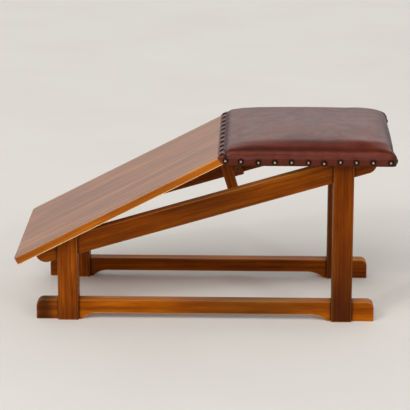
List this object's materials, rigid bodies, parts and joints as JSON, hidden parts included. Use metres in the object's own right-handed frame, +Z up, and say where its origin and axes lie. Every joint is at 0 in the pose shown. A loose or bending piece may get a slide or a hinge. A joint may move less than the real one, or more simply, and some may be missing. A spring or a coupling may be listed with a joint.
{
  "type": "shoe fitting stool",
  "caption": "Shoe fitting stool with a padded leather seat, a sloping foot ramp and a forked-leg wooden frame on two floor runners.",
  "frame": {"origin": "on the floor under the middle of the stool's overall length and width", "axes": "+X from the ramp's foot to the seat's free end, +Y to the right hand of a fitter who sits facing the ramp, +Z up"},
  "size_m": [0.7118, 0.3422, 0.3551],
  "materials": {
    "stained_frame_wood": "red-brown stained hardwood under satin varnish",
    "varnished_ramp_wood": "amber hardwood board under satin varnish, grain along the slope",
    "plain_board_wood": "plain sawn board, unfinished",
    "cotton_padding": "natural cotton felt padding",
    "burgundy_leather": "smooth burgundy hide, lightly polished by use",
    "antique_bronze_nails": "dark antique bronze dome heads",
    "steel_screws": "dull steel wood screws"
  },
  "bodies": {
    "root": {"runner_left": "stained_frame_wood", "runner_right": "stained_frame_wood", "sloped_rail_left": "stained_frame_wood", "sloped_rail_right": "stained_frame_wood", "short_leg_left": "stained_frame_wood", "short_leg_right": "stained_frame_wood", "tall_leg_left": "stained_frame_wood", "tall_leg_right": "stained_frame_wood", "strut_left": "stained_frame_wood", "strut_right": "stained_frame_wood", "front_cross_rail": "stained_frame_wood", "back_cross_rail": "stained_frame_wood", "joint_bearer": "stained_frame_wood", "ramp_board": "varnished_ramp_wood", "seat_board": "plain_board_wood", "seat_padding": "cotton_padding", "seat_cover": "burgundy_leather", "seat_nails_left_side": "antique_bronze_nails", "seat_nails_right_side": "antique_bronze_nails", "seat_nails_free_end": "antique_bronze_nails", "seat_nails_ramp_end": "antique_bronze_nails", "strut_screws": "steel_screws", "seat_screws": "steel_screws", "ramp_screws": "steel_screws"}
  },
  "joints": []
}
